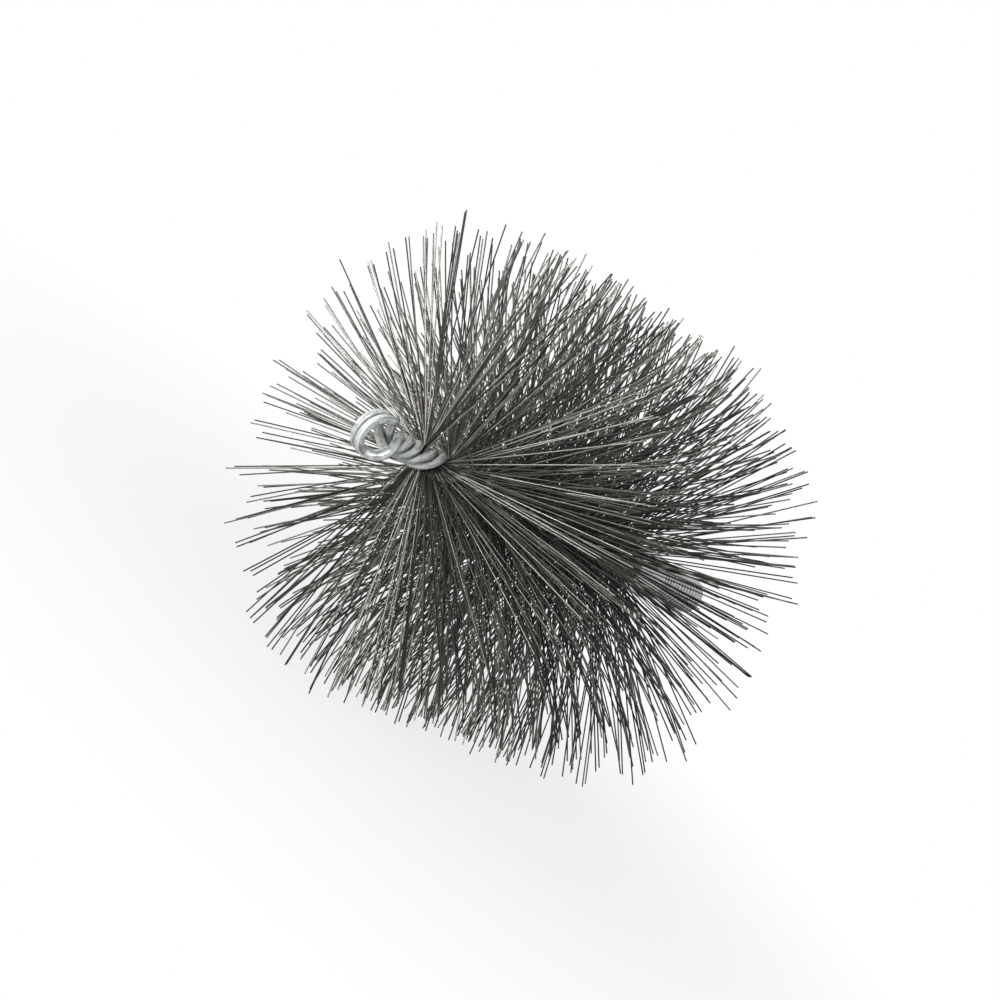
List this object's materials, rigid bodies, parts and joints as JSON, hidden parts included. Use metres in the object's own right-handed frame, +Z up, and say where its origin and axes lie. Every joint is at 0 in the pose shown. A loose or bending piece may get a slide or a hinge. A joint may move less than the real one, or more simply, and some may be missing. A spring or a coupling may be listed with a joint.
{
  "type": "tube brush",
  "caption": "Round twisted-wire brush with stiff steel bristles for scrubbing tubes and flues, with a wire eye at one end and a threaded stud at the other.",
  "frame": {"origin": "middle of the bounding box's bottom face, where the brush lies on its bristle tips", "axes": "+Y along the core from the wire eye to the threaded stud, +Z up"},
  "size_m": [0.14, 0.185, 0.1395],
  "materials": {
    "galvanised_core_wire": "matt zinc coating with fine drawing marks",
    "bristle_steel": "dark drawn spring steel, satin",
    "plated_stud": "bright zinc plate, satin"
  },
  "bodies": {
    "root": {"core_wire_a": "galvanised_core_wire", "core_wire_b": "galvanised_core_wire", "threaded_stud": "plated_stud", "bristle_bundle_01": "bristle_steel", "bristle_bundle_02": "bristle_steel", "bristle_bundle_03": "bristle_steel", "bristle_bundle_04": "bristle_steel", "bristle_bundle_05": "bristle_steel", "bristle_bundle_06": "bristle_steel", "bristle_bundle_07": "bristle_steel", "bristle_bundle_08": "bristle_steel", "bristle_bundle_09": "bristle_steel", "bristle_bundle_10": "bristle_steel", "bristle_bundle_11": "bristle_steel", "bristle_bundle_12": "bristle_steel", "bristle_bundle_13": "bristle_steel", "bristle_bundle_14": "bristle_steel", "bristle_bundle_15": "bristle_steel", "bristle_bundle_16": "bristle_steel"}
  },
  "joints": []
}
